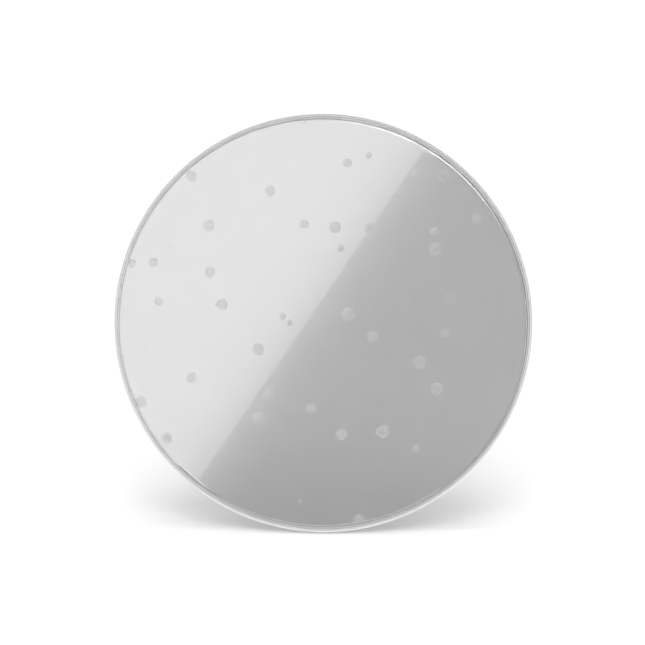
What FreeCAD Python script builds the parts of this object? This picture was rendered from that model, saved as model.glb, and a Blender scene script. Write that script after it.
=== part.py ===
"""Clear two-ply drum head, 14 inch, standing upright.

Frame: the head's axis is Y, the playing side faces -Y and +Z is up. The origin is
the centre of the bearing-edge seat, the plane where the underside of the film
rests on a drum shell. All sections are drawn in the XY plane as radius (x)
against depth behind the seat (y) and revolved about Y.
"""

import FreeCAD, Part
import math
import os
import Sketcher

V = FreeCAD.Vector
doc = FreeCAD.newDocument("drum_head")

# ---------------------------------------------------------------- dimensions
DIMS = [
    # rolled aluminium channel
    ("hoop_od", 370.0, "outside diameter of the hoop"),
    ("hoop_id", 362.2, "inside diameter of the hoop, round the shell"),
    ("hoop_wall", 0.7, "strip thickness"),
    ("lip_depth", 8.2, "front lip of the outer wall, behind the seat"),
    ("inner_depth", 8.8, "front edge of the inner wall"),
    ("back_depth", 17.2, "back of the hoop"),
    ("corner_out", 1.1, "outside bend radius of the channel"),
    ("corner_in", 0.4, "inside bend radius of the channel"),
    ("lip_round", 0.2, "rounding of the lip's two corners"),
    ("seam_gap", 0.25, "butt seam where the ring closes"),
    # film stack
    ("ply_thk", 0.18, "one sheet of film"),
    ("oil_thk", 0.10, "oil layer"),
    ("crown_rad", 176.25, "flat part of the head"),
    ("bearing_bend", 3.2, "bend over the bearing edge, underside"),
    ("collar_angle", 86.0, "slope of the collar, degrees"),
    ("root_bend", 1.2, "bend at the collar's root, underside"),
    ("ledge_depth", 8.8, "underside of the ledge that lies on the inner wall"),
    ("tuck_bend", 0.6, "bend down into the channel, underside"),
    ("tail_rad", 182.5, "inside radius of the tail in the channel"),
    ("tail_end", 15.2, "end of the tail"),
    ("oil_end", 6.9, "where the oil stops and the seal starts"),
    # keying holes punched in the tail
    ("perf_dia", 3.0, "hole diameter"),
    ("perf_depth", 12.4, "hole centre behind the seat"),
    ("perf_count", 72, "holes round the tail"),
    # casting
    ("resin_depth", 8.75, "front face of the casting"),
]
sheet = doc.addObject("Spreadsheet::Sheet", "dims")
sheet.Label = "dims"
for row, (alias, value, note) in enumerate(DIMS, start=1):
    sheet.set(f"A{row}", note)
    sheet.set(f"B{row}", str(value))
    sheet.setAlias(f"B{row}", alias)
doc.recompute()


def dim(alias):
    return float(getattr(sheet, alias))


# ------------------------------------------------------------------- helpers
def origin_feature(body, role):
    for feature in body.Origin.OriginFeatures:
        if feature.Role == role:
            return feature
    raise RuntimeError(f"{body.Label} has no {role}")


def new_body(name):
    body = doc.addObject("PartDesign::Body", name)
    body.Label = name
    body.Placement = FreeCAD.Placement()
    return body


def new_sketch(body, name, role):
    sketch = body.newObject("Sketcher::SketchObject", name)
    sketch.AttachmentSupport = (origin_feature(body, role), [""])
    sketch.MapMode = "FlatFace"
    return sketch


def line(sketch, p, q):
    return sketch.addGeometry(Part.LineSegment(V(*p, 0), V(*q, 0)), False)


def arc(sketch, centre, radius, start, end):
    circle = Part.Circle(V(*centre, 0), V(0, 0, 1), radius)
    return sketch.addGeometry(
        Part.ArcOfCircle(circle, math.radians(start), math.radians(end)), False
    )


def rule(sketch, *args):
    return sketch.addConstraint(Sketcher.Constraint(*args))


def bound(sketch, name, expression, *args):
    """A dimension of the sketch that follows the spreadsheet."""
    index = sketch.addConstraint(Sketcher.Constraint(*args))
    sketch.renameConstraint(index, name)
    sketch.setExpression(f"Constraints.{name}", expression)
    return index


def revolve(body, sketch, name):
    feature = body.newObject("PartDesign::Revolution", name)
    feature.Profile = sketch
    feature.ReferenceAxis = (sketch, ["V_Axis"])
    feature.Angle = 360.0
    body.Tip = feature
    doc.recompute()
    return feature


# ------------------------------------------------------- film section, 7 runs
THETA = dim("collar_angle")
SIN, COS = math.sin(math.radians(THETA)), math.cos(math.radians(THETA))
C1 = (dim("crown_rad"), dim("bearing_bend"))
C2Y = dim("ledge_depth") - dim("root_bend")
C2 = (
    C1[0]
    + (dim("bearing_bend") + dim("root_bend")) * SIN
    + (C2Y - C1[1] + (dim("bearing_bend") + dim("root_bend")) * COS) * COS / SIN,
    C2Y,
)
C3 = (dim("tail_rad") - dim("tuck_bend"), dim("ledge_depth") + dim("tuck_bend"))
ROOT_X = (
    "dims.crown_rad + (dims.bearing_bend + dims.root_bend) * sin(dims.collar_angle)"
    " + (dims.ledge_depth - dims.root_bend - dims.bearing_bend"
    " + (dims.bearing_bend + dims.root_bend) * cos(dims.collar_angle))"
    " / tan(dims.collar_angle)"
)


def film_point(run_end, d):
    """Ends of the runs on the curve d above the underside."""
    r1, r2, r3 = dim("bearing_bend"), dim("root_bend"), dim("tuck_bend")
    return {
        "centre": (0.0, -d),
        "crown": (C1[0], -d),
        "bend": (C1[0] + (r1 + d) * SIN, C1[1] - (r1 + d) * COS),
        "collar": (C2[0] - (r2 - d) * SIN, C2[1] + (r2 - d) * COS),
        "root": (C2[0], dim("ledge_depth") - d),
        "ledge": (C3[0], dim("ledge_depth") - d),
        "tuck": (dim("tail_rad") + d, C3[1]),
        "tail": (dim("tail_rad") + d, dim("tail_end")),
    }[run_end]


def at_depth(d, y):
    """Point of the sloped collar run at depth y."""
    p, q = film_point("bend", d), film_point("collar", d)
    k = (y - p[1]) / (q[1] - p[1])
    return (p[0] + k * (q[0] - p[0]), y)


def film_section(sketch, low, high, low_text, high_text, runs):
    """Closed section between two offsets of the film's underside curve.

    runs is "whole" (axis to tail), "oil" (axis to oil_end) or "seal" (oil_end
    to tail).
    """
    whole, oil, seal = runs == "whole", runs == "oil", runs == "seal"
    y_cut = dim("oil_end")
    side = {}
    for key, d in (("a", low), ("b", high)):
        g = {}
        if not seal:
            g["crown"] = line(sketch, film_point("centre", d), film_point("crown", d))
            g["bend"] = arc(sketch, C1, dim("bearing_bend") + d, -90, THETA - 90)
        start = at_depth(d, y_cut) if seal else film_point("bend", d)
        stop = at_depth(d, y_cut) if oil else film_point("collar", d)
        g["collar"] = line(sketch, start, stop)
        if not oil:
            g["root"] = arc(sketch, C2, dim("root_bend") - d, 90, 90 + THETA)
            g["ledge"] = line(sketch, film_point("root", d), film_point("ledge", d))
            g["tuck"] = arc(sketch, C3, dim("tuck_bend") + d, -90, 0)
            g["tail"] = line(sketch, film_point("tuck", d), film_point("tail", d))
        side[key] = g
    a, b = side["a"], side["b"]
    for g in (a, b):
        if not seal:
            rule(sketch, "Tangent", g["crown"], 2, g["bend"], 1)
            rule(sketch, "Tangent", g["bend"], 2, g["collar"], 1)
            rule(sketch, "Horizontal", g["crown"])
        if not oil:
            rule(sketch, "Tangent", g["collar"], 2, g["root"], 2)
            rule(sketch, "Tangent", g["root"], 1, g["ledge"], 1)
            rule(sketch, "Tangent", g["ledge"], 2, g["tuck"], 1)
            rule(sketch, "Tangent", g["tuck"], 2, g["tail"], 1)
            rule(sketch, "Horizontal", g["ledge"])
            rule(sketch, "Vertical", g["tail"])
    # ends
    if not seal:
        axis = line(sketch, film_point("centre", low), film_point("centre", high))
        rule(sketch, "Coincident", a["crown"], 1, axis, 1)
        rule(sketch, "Coincident", b["crown"], 1, axis, 2)
        rule(sketch, "PointOnObject", axis, 1, -2)
        rule(sketch, "PointOnObject", axis, 2, -2)
        rule(sketch, "Coincident", a["bend"], 3, b["bend"], 3)
        bound(sketch, "front", high_text, "DistanceY", b["crown"], 1, -1, 1, high)
        if low > 0:
            bound(sketch, "under", low_text, "DistanceY", a["crown"], 1, -1, 1, low)
        else:
            rule(sketch, "PointOnObject", a["crown"], 1, -1)
        bound(sketch, "crown", "dims.crown_rad", "DistanceX", -1, 1, a["bend"], 3, C1[0])
        bound(
            sketch,
            "bearing",
            f"dims.bearing_bend + {low_text}",
            "Radius",
            a["bend"],
            dim("bearing_bend") + low,
        )
    if whole or seal:
        cap = line(sketch, film_point("tail", low), film_point("tail", high))
        rule(sketch, "Coincident", a["tail"], 2, cap, 1)
        rule(sketch, "Coincident", b["tail"], 2, cap, 2)
        rule(sketch, "Horizontal", cap)
        rule(sketch, "Coincident", a["root"], 3, b["root"], 3)
        rule(sketch, "Coincident", a["tuck"], 3, b["tuck"], 3)
        bound(sketch, "tail_end", "dims.tail_end", "DistanceY", -1, 1, a["tail"], 2, dim("tail_end"))
        bound(
            sketch,
            "tail_rad",
            f"dims.tail_rad + {low_text}",
            "DistanceX",
            -1,
            1,
            a["tail"],
            2,
            dim("tail_rad") + low,
        )
        bound(
            sketch,
            "ledge_low",
            f"dims.ledge_depth - {low_text}",
            "DistanceY",
            -1,
            1,
            a["ledge"],
            2,
            dim("ledge_depth") - low,
        )
        bound(
            sketch,
            "ledge_high",
            f"dims.ledge_depth - ({high_text})",
            "DistanceY",
            -1,
            1,
            b["ledge"],
            2,
            dim("ledge_depth") - high,
        )
        bound(
            sketch,
            "root",
            f"dims.root_bend - {low_text}",
            "Radius",
            a["root"],
            dim("root_bend") - low,
        )
        bound(
            sketch,
            "tuck",
            f"dims.tuck_bend + {low_text}",
            "Radius",
            a["tuck"],
            dim("tuck_bend") + low,
        )
    bound(
        sketch,
        "slope",
        "dims.collar_angle",
        "Angle",
        a["collar"],
        math.radians(THETA),
    )
    if oil or seal:
        end = 2 if oil else 1
        cut = line(sketch, at_depth(low, y_cut), at_depth(high, y_cut))
        rule(sketch, "Coincident", a["collar"], end, cut, 1)
        rule(sketch, "Coincident", b["collar"], end, cut, 2)
        rule(sketch, "Horizontal", cut)
        bound(sketch, "cut", "dims.oil_end", "DistanceY", -1, 1, cut, 1, y_cut)
    if oil:
        rule(sketch, "Parallel", a["collar"], b["collar"])
    if seal:
        rule(sketch, "Parallel", a["collar"], b["collar"])
        bound(sketch, "root_x", ROOT_X, "DistanceX", -1, 1, a["root"], 3, C2[0])


def punch_tail(body, name, thickness):
    """Ring of keying holes through the tail, punched outwards along +X first."""
    before = body.Shape.Volume
    sketch = new_sketch(body, f"{name}_hole", "YZ_Plane")
    sketch.AttachmentOffset = FreeCAD.Placement(
        V(0, 0, dim("tail_rad") - 1.0), FreeCAD.Rotation()
    )
    sketch.setExpression("AttachmentOffset.Base.z", "dims.tail_rad - 1")
    hole = sketch.addGeometry(
        Part.Circle(V(dim("perf_depth"), 0, 0), V(0, 0, 1), dim("perf_dia") / 2), False
    )
    rule(sketch, "PointOnObject", hole, 3, -1)
    bound(sketch, "depth", "dims.perf_depth", "DistanceX", -1, 1, hole, 3, dim("perf_depth"))
    bound(sketch, "hole", "dims.perf_dia", "Diameter", hole, dim("perf_dia"))
    pocket = body.newObject("PartDesign::Pocket", f"{name}_punch")
    pocket.Profile = sketch
    pocket.Type = 0
    pocket.Length = 2.5
    pocket.Reversed = True
    doc.recompute()
    one = before - body.Shape.Volume
    ring = body.newObject("PartDesign::PolarPattern", f"{name}_punches")
    ring.Originals = [pocket]
    ring.Axis = (origin_feature(body, "Y_Axis"), [""])
    ring.Angle = 360.0
    ring.Occurrences = int(dim("perf_count"))
    ring.setExpression("Occurrences", "dims.perf_count")
    body.Tip = ring
    doc.recompute()
    lost = before - body.Shape.Volume
    wanted = math.pi * (dim("perf_dia") / 2) ** 2 * thickness
    print(f"{name}: one hole {one:.3f} of {wanted:.3f} mm3, ring {lost:.2f} mm3")
    if abs(one / wanted - 1) > 0.05 or abs(lost / wanted / dim("perf_count") - 1) > 0.05:
        raise RuntimeError(f"{name}: holes are missing")


# ----------------------------------------------------------------- the sheets
PLY, OIL = dim("ply_thk"), dim("oil_thk")

bottom_ply = new_body("bottom_ply")
section = new_sketch(bottom_ply, "bottom_section", "XY_Plane")
film_section(section, 0.0, PLY, "0", "dims.ply_thk", "whole")
revolve(bottom_ply, section, "bottom_form")
punch_tail(bottom_ply, "bottom", PLY)

top_ply = new_body("top_ply")
section = new_sketch(top_ply, "top_section", "XY_Plane")
film_section(
    section,
    PLY + OIL,
    2 * PLY + OIL,
    "(dims.ply_thk + dims.oil_thk)",
    "(2 * dims.ply_thk + dims.oil_thk)",
    "whole",
)
revolve(top_ply, section, "top_form")
punch_tail(top_ply, "top", PLY)

# ----------------------------------------------- adhesive that closes the edge
edge_seal = new_body("edge_seal")
section = new_sketch(edge_seal, "seal_section", "XY_Plane")
film_section(
    section, PLY, PLY + OIL, "dims.ply_thk", "(dims.ply_thk + dims.oil_thk)", "seal"
)
revolve(edge_seal, section, "seal_ring")
punch_tail(edge_seal, "seal", OIL)

# ------------------------------------------------ oil, with trapped air pockets
oil_film = new_body("oil_film")
section = new_sketch(oil_film, "oil_section", "XY_Plane")
film_section(
    section, PLY, PLY + OIL, "dims.ply_thk", "(dims.ply_thk + dims.oil_thk)", "oil"
)
revolve(oil_film, section, "oil_layer")
# air pockets: x, z of the centre and radius, mm
POCKETS = [
    (-114.6, 130.1, 5.3), (-99.2, 87.0, 5.5), (-45.3, 117.0, 4.9), (-15.3, 87.9, 4.2),
    (11.7, 85.5, 5.5), (16.3, 66.9, 3.5), (41.2, 85.0, 4.0), (41.2, 148.2, 3.1),
    (22.6, 141.8, 4.4), (-135.2, 69.1, 1.3), (-149.0, 54.5, 4.4), (-98.7, 46.1, 4.9),
    (-143.9, 19.5, 4.0), (-88.2, 17.1, 5.3), (-34.6, 6.9, 3.1), (-28.5, 1.2, 2.9),
    (-55.9, -22.1, 5.5), (-155.3, -22.1, 1.3), (-115.2, -47.9, 4.9),
    (-137.6, -101.7, 5.3), (-55.9, -82.7, 5.3), (-46.9, -61.8, 4.4), (-9.7, -74.1, 4.4),
    (17.1, -97.5, 5.1), (53.7, -94.6, 5.7), (82.8, -109.6, 3.5), (101.1, -56.8, 5.5),
    (86.1, -33.4, 5.6), (108.1, -7.7, 4.2), (44.9, -10.6, 5.0), (23.1, 9.2, 5.6),
    (112.7, 23.9, 4.9), (147.8, 10.8, 1.3), (99.5, 66.4, 5.5), (98.7, 82.0, 3.6),
    (135.7, 93.6, 4.4), (106.6, 130.1, 4.4), (82.8, 132.8, 3.2), (-18.7, -157.1, 2.2),
]
pockets = new_sketch(oil_film, "air_pockets", "XZ_Plane")
for n, (x, z, r) in enumerate(POCKETS):
    circle = pockets.addGeometry(Part.Circle(V(x, z, 0), V(0, 0, 1), r), False)
    rule(pockets, "Radius", circle, r)
before = oil_film.Shape.Volume
air = oil_film.newObject("PartDesign::Pocket", "air")
air.Profile = pockets
air.Type = 1
air.Midplane = True
oil_film.Tip = air
doc.recompute()
lost = before - oil_film.Shape.Volume
wanted = OIL * sum(math.pi * r * r for _, _, r in POCKETS)
print(f"oil: air pockets {lost:.3f} mm3 of {wanted:.3f} mm3")
if abs(lost - wanted) > 0.02 * wanted:
    raise RuntimeError("oil: the air pockets are not what they should be")

# ---------------------------------------------------------- aluminium channel
hoop = new_body("hoop_channel")
RI, RO = dim("hoop_id") / 2, dim("hoop_od") / 2
T, YB = dim("hoop_wall"), dim("back_depth")
YL, YI = dim("lip_depth"), dim("inner_depth")
CO, CI, LR = dim("corner_out"), dim("corner_in"), dim("lip_round")
section = new_sketch(hoop, "channel_section", "XY_Plane")
bore = line(section, (RI, YI), (RI, YB - CO))
heel = arc(section, (RI + CO, YB - CO), CO, 90, 180)
back = line(section, (RI + CO, YB), (RO - CO, YB))
toe = arc(section, (RO - CO, YB - CO), CO, 0, 90)
outside = line(section, (RO, YB - CO), (RO, YL + LR))
lip_out = arc(section, (RO - LR, YL + LR), LR, 270, 360)
lip = line(section, (RO - LR, YL), (RO - T + LR, YL))
lip_in = arc(section, (RO - T + LR, YL + LR), LR, 180, 270)
wall = line(section, (RO - T, YL + LR), (RO - T, YB - T - CI))
toe_in = arc(section, (RO - T - CI, YB - T - CI), CI, 0, 90)
floor = line(section, (RO - T - CI, YB - T), (RI + T + CI, YB - T))
heel_in = arc(section, (RI + T + CI, YB - T - CI), CI, 90, 180)
rise = line(section, (RI + T, YB - T - CI), (RI + T, YI))
edge = line(section, (RI + T, YI), (RI, YI))
for g1, p1, g2, p2 in (
    (bore, 2, heel, 2),
    (heel, 1, back, 1),
    (back, 2, toe, 2),
    (toe, 1, outside, 1),
    (outside, 2, lip_out, 2),
    (lip_out, 1, lip, 1),
    (lip, 2, lip_in, 2),
    (lip_in, 1, wall, 1),
    (wall, 2, toe_in, 1),
    (toe_in, 2, floor, 1),
    (floor, 2, heel_in, 1),
    (heel_in, 2, rise, 1),
):
    rule(section, "Tangent", g1, p1, g2, p2)
rule(section, "Coincident", rise, 2, edge, 1)
rule(section, "Coincident", edge, 2, bore, 1)
for g in (bore, outside, wall, rise):
    rule(section, "Vertical", g)
for g in (back, floor, edge, lip):
    rule(section, "Horizontal", g)
bound(section, "bore_rad", "dims.hoop_id / 2", "DistanceX", -1, 1, bore, 1, RI)
bound(section, "out_rad", "dims.hoop_od / 2", "DistanceX", -1, 1, outside, 1, RO)
bound(section, "rise_rad", "dims.hoop_id / 2 + dims.hoop_wall", "DistanceX", -1, 1, rise, 1, RI + T)
bound(section, "wall_rad", "dims.hoop_od / 2 - dims.hoop_wall", "DistanceX", -1, 1, wall, 1, RO - T)
bound(section, "back_y", "dims.back_depth", "DistanceY", -1, 1, back, 1, YB)
bound(section, "floor_y", "dims.back_depth - dims.hoop_wall", "DistanceY", -1, 1, floor, 1, YB - T)
bound(section, "inner_y", "dims.inner_depth", "DistanceY", -1, 1, edge, 1, YI)
bound(section, "lip_y", "dims.lip_depth", "DistanceY", -1, 1, lip, 1, YL)
bound(section, "lip_out_r", "dims.lip_round", "Radius", lip_out, LR)
bound(section, "lip_in_r", "dims.lip_round", "Radius", lip_in, LR)
bound(section, "heel_r", "dims.corner_out", "Radius", heel, CO)
bound(section, "toe_r", "dims.corner_out", "Radius", toe, CO)
bound(section, "heel_in_r", "dims.corner_in", "Radius", heel_in, CI)
bound(section, "toe_in_r", "dims.corner_in", "Radius", toe_in, CI)
revolve(hoop, section, "channel_ring")
before = hoop.Shape.Volume
seam = new_sketch(hoop, "seam_line", "YZ_Plane")
Y0, Y1, Z0, Z1 = YL - 1, YB + 1, -RO - 1, -RI + 1
s1 = line(seam, (Y0, Z0), (Y1, Z0))
s2 = line(seam, (Y1, Z0), (Y1, Z1))
s3 = line(seam, (Y1, Z1), (Y0, Z1))
s4 = line(seam, (Y0, Z1), (Y0, Z0))
for g1, g2 in ((s1, s2), (s2, s3), (s3, s4), (s4, s1)):
    rule(seam, "Coincident", g1, 2, g2, 1)
rule(seam, "Horizontal", s1)
rule(seam, "Horizontal", s3)
rule(seam, "Vertical", s2)
rule(seam, "Vertical", s4)
bound(seam, "from_y", "dims.lip_depth - 1", "DistanceX", -1, 1, s1, 1, Y0)
bound(seam, "to_y", "dims.back_depth + 1", "DistanceX", -1, 1, s1, 2, Y1)
bound(seam, "from_z", "dims.hoop_od / 2 + 1", "DistanceY", s1, 1, -1, 1, -Z0)
bound(seam, "to_z", "dims.hoop_id / 2 - 1", "DistanceY", s3, 1, -1, 1, -Z1)
slit = hoop.newObject("PartDesign::Pocket", "seam")
slit.Profile = seam
slit.Type = 0
slit.Midplane = True
slit.Length = dim("seam_gap")
slit.setExpression("Length", "dims.seam_gap")
hoop.Tip = slit
doc.recompute()
lost = before - hoop.Shape.Volume
print(f"hoop: seam {lost:.3f} mm3")
if lost <= 0:
    raise RuntimeError("hoop: the seam cut nothing")

# ------------------------------------------------------------- cast resin fill
fill = new_body("channel_fill")
section = new_sketch(fill, "fill_section", "XY_Plane")
YR = dim("resin_depth")
inner = line(section, (RI + T, YI), (RI + T, YB - T - CI))
heel_f = arc(section, (RI + T + CI, YB - T - CI), CI, 90, 180)
bed = line(section, (RI + T + CI, YB - T), (RO - T - CI, YB - T))
toe_f = arc(section, (RO - T - CI, YB - T - CI), CI, 0, 90)
outer = line(section, (RO - T, YB - T - CI), (RO - T, YR))
face = line(section, (RO - T, YR), (C3[0] + 0.3, YR))
under = line(section, (C3[0] + 0.3, YR), (RI + T, YI))
for g1, p1, g2, p2 in (
    (inner, 2, heel_f, 2),
    (heel_f, 1, bed, 1),
    (bed, 2, toe_f, 2),
    (toe_f, 1, outer, 1),
):
    rule(section, "Tangent", g1, p1, g2, p2)
rule(section, "Coincident", outer, 2, face, 1)
rule(section, "Coincident", face, 2, under, 1)
rule(section, "Coincident", under, 2, inner, 1)
for g in (inner, outer):
    rule(section, "Vertical", g)
for g in (bed, face):
    rule(section, "Horizontal", g)
bound(section, "in_rad", "dims.hoop_id / 2 + dims.hoop_wall", "DistanceX", -1, 1, inner, 1, RI + T)
bound(section, "out_rad", "dims.hoop_od / 2 - dims.hoop_wall", "DistanceX", -1, 1, outer, 1, RO - T)
bound(section, "inner_y", "dims.inner_depth", "DistanceY", -1, 1, inner, 1, YI)
bound(section, "bed_y", "dims.back_depth - dims.hoop_wall", "DistanceY", -1, 1, bed, 1, YB - T)
bound(section, "face_y", "dims.resin_depth", "DistanceY", -1, 1, face, 1, YR)
bound(section, "face_x", "dims.tail_rad - dims.tuck_bend + 0.3", "DistanceX", -1, 1, face, 2, C3[0] + 0.3)
bound(section, "heel_r", "dims.corner_in", "Radius", heel_f, CI)
bound(section, "toe_r", "dims.corner_in", "Radius", toe_f, CI)
revolve(fill, section, "fill_ring")

film_edge = doc.addObject("Part::MultiFuse", "film_edge")
film_edge.Label = "film_edge"
film_edge.Shapes = [bottom_ply, edge_seal, top_ply]
resin = doc.addObject("Part::Cut", "hoop_resin")
resin.Label = "hoop_resin"
resin.Base = fill
resin.Tool = film_edge
doc.recompute()

# ------------------------------------------------------------ check and write
for obj in doc.Objects:
    if any(word in ("Invalid", "Error") for word in obj.State):
        raise RuntimeError(f"{obj.Name} failed: {obj.State}")
nodes = [hoop, resin, bottom_ply, top_ply, edge_seal, oil_film]
os.makedirs("parts", exist_ok=True)
for node in nodes:
    shape = node.Shape
    if shape.isNull() or not shape.isValid():
        raise RuntimeError(f"{node.Label} has no valid shape")
for node in nodes:
    shape = node.Shape
    box = shape.BoundBox
    print(
        f"{node.Label}: {len(shape.Solids)} solid(s), {shape.Volume:.1f} mm3, "
        f"x {box.XMin:.2f}..{box.XMax:.2f} y {box.YMin:.2f}..{box.YMax:.2f} "
        f"z {box.ZMin:.2f}..{box.ZMax:.2f}"
    )
    shape.exportStep(f"parts/{node.Label}.step")
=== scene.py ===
import math
import random

import bmesh
import bpy
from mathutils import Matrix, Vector
from mathutils.geometry import delaunay_2d_cdt


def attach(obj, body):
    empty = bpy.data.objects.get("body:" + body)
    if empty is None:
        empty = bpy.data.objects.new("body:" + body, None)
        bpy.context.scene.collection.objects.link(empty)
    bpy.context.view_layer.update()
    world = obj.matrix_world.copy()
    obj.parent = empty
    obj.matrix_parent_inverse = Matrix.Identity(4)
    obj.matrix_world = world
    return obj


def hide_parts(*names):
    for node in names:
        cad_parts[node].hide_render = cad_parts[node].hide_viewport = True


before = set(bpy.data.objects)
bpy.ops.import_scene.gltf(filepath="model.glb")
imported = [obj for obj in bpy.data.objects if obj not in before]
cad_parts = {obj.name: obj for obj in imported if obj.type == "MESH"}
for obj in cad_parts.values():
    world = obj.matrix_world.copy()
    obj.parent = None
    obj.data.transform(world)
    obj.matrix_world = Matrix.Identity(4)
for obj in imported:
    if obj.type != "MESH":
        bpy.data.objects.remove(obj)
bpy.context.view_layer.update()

MM = 0.001

# ------------------------------------------------------------------ dimensions
# All in millimetres: r is the distance from the head's axis, y the depth behind
# the bearing-edge seat. A film surface is named by its offset d in front of the
# underside of the bottom ply.
SEG = 288                      # facets round the head, four to each keying hole
FLAT_R = 176.25                # edge of the flat crown
BEND_R, BEND_Y = 3.2, 3.2      # bend over the bearing edge
SLOPE = math.radians(86)       # steepness of the collar
COLLAR_LEN = 4.7184
ROOT_R, ROOT_Y, ROOT_RAD = 180.9684, 7.6, 1.2
TUCK_R, TUCK_Y, TUCK_RAD = 181.9, 9.4, 0.6
TAIL_R, TAIL_END = 182.5, 15.2
HOLES, HOLE_RAD, HOLE_Y = 72, 1.5, 12.4
MID = 0.23                     # offset of the middle of the oil
BEND_LEN = SLOPE * (BEND_R + MID)
BEND_END = FLAT_R + BEND_LEN
OIL_END = 3.949                # how far down the collar the oil reaches

RING = [math.radians((k + 0.5) * 360 / SEG) for k in range(SEG)]

# Air pockets trapped in the oil: x, z and radius.
POCKETS = [
    (-114.6, 130.1, 5.3), (-99.2, 87.0, 5.5), (-45.3, 117.0, 4.9), (-15.3, 87.9, 4.2),
    (11.7, 85.5, 5.5), (16.3, 66.9, 3.5), (41.2, 85.0, 4.0), (41.2, 148.2, 3.1),
    (22.6, 141.8, 4.4), (-135.2, 69.1, 1.3), (-149.0, 54.5, 4.4), (-98.7, 46.1, 4.9),
    (-143.9, 19.5, 4.0), (-88.2, 17.1, 5.3), (-34.6, 6.9, 3.1), (-28.5, 1.2, 2.9),
    (-55.9, -22.1, 5.5), (-155.3, -22.1, 1.3), (-115.2, -47.9, 4.9), (-137.6, -101.7, 5.3),
    (-55.9, -82.7, 5.3), (-46.9, -61.8, 4.4), (-9.7, -74.1, 4.4), (17.1, -97.5, 5.1),
    (53.7, -94.6, 5.7), (82.8, -109.6, 3.5), (101.1, -56.8, 5.5), (86.1, -33.4, 5.6),
    (108.1, -7.7, 4.2), (44.9, -10.6, 5.0), (23.1, 9.2, 5.6), (112.7, 23.9, 4.9),
    (147.8, 10.8, 1.3), (99.5, 66.4, 5.5), (98.7, 82.0, 3.6), (135.7, 93.6, 4.4),
    (106.6, 130.1, 4.4), (82.8, 132.8, 3.2), (-18.7, -157.1, 2.2),
    # pressed against the bend at the rim
    (-167.8, 53.4, 4.0), (-160.2, -69.1, 5.2), (32.8, -172.7, 5.2), (-14.6, 177.0, 1.8),
]
THIN = {20: 0.9, 21: 0.7, 31: 0.85, 32: 0.8, 36: 0.6, 37: 0.4, 42: 0.5}    # pockets with less air in them
PAINTED_LIFT = {22: 0.1, 23: 0.16, 24: 0.18, 25: 0.18, 26: 0.06, 35: 0.06, 38: 0.25, 41: 0.22}    # pockets painted paler, mostly low on the head: painted light that makes up for the shade of the floor seen through them
RIM_LIMIT = 180.2              # no pocket reaches further down the bend
RIM = {k for k, (x, z, r) in enumerate(POCKETS) if math.hypot(x, z) + r * 1.2 > 170.0}

rng = random.Random(41)
WOBBLE = [
    (rng.uniform(0.02, 0.06), rng.uniform(0, 6.28), rng.uniform(0.01, 0.035), rng.uniform(0, 6.28), rng.uniform(0.7, 1.2))
    for _ in POCKETS
]


def pocket_edge(k, a):
    """Radius of pocket k's outline in the direction a."""
    x, z, r = POCKETS[k]
    w2, p2, w3, p3, _ = WOBBLE[k]
    r *= 1 + w2 * math.cos(2 * a + p2) + w3 * math.cos(3 * a + p3)
    if k in RIM:
        lo, hi = 0.0, r
        if math.hypot(x + r * math.cos(a), z + r * math.sin(a)) > RIM_LIMIT:
            for _ in range(40):
                m = (lo + hi) / 2
                if math.hypot(x + m * math.cos(a), z + m * math.sin(a)) > RIM_LIMIT:
                    hi = m
                else:
                    lo = m
            r = lo
    return r


def bulge(x, z):
    """How far the top ply is lifted over the air pockets, as a share of the full lift, and that pocket's size."""
    for k, (cx, cz, r) in enumerate(POCKETS):
        dx, dz = x - cx, z - cz
        q2 = dx * dx + dz * dz
        if q2 < (1.2 * r) ** 2:
            q = math.sqrt(q2) / pocket_edge(k, math.atan2(dz, dx))
            if q < 1:
                return (1 - q * q) ** 2 * WOBBLE[k][4] * min(1.0, r / 4) * THIN.get(k, 1.0)
    return 0.0


LIFT_TOP, LIFT_BACK = 0.03, 0.02


def film_point(rho, a, d):
    """A point of the film, rho along its own surface from the centre, d in front of the bottom ply's underside."""
    if rho <= FLAT_R:
        r, y = rho, -d
    elif rho <= BEND_END:
        t = (rho - FLAT_R) / (BEND_R + MID)
        r = FLAT_R + (BEND_R + d) * math.sin(t)
        y = BEND_Y - (BEND_R + d) * math.cos(t)
    else:
        t = rho - BEND_END
        r = FLAT_R + (BEND_R + d) * math.sin(SLOPE) + t * math.cos(SLOPE)
        y = BEND_Y - (BEND_R + d) * math.cos(SLOPE) + t * math.sin(SLOPE)
    return (r * math.cos(a) * MM, y * MM, r * math.sin(a) * MM)


def turn(r, y, a):
    return (r * math.cos(a) * MM, y * MM, r * math.sin(a) * MM)


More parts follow.
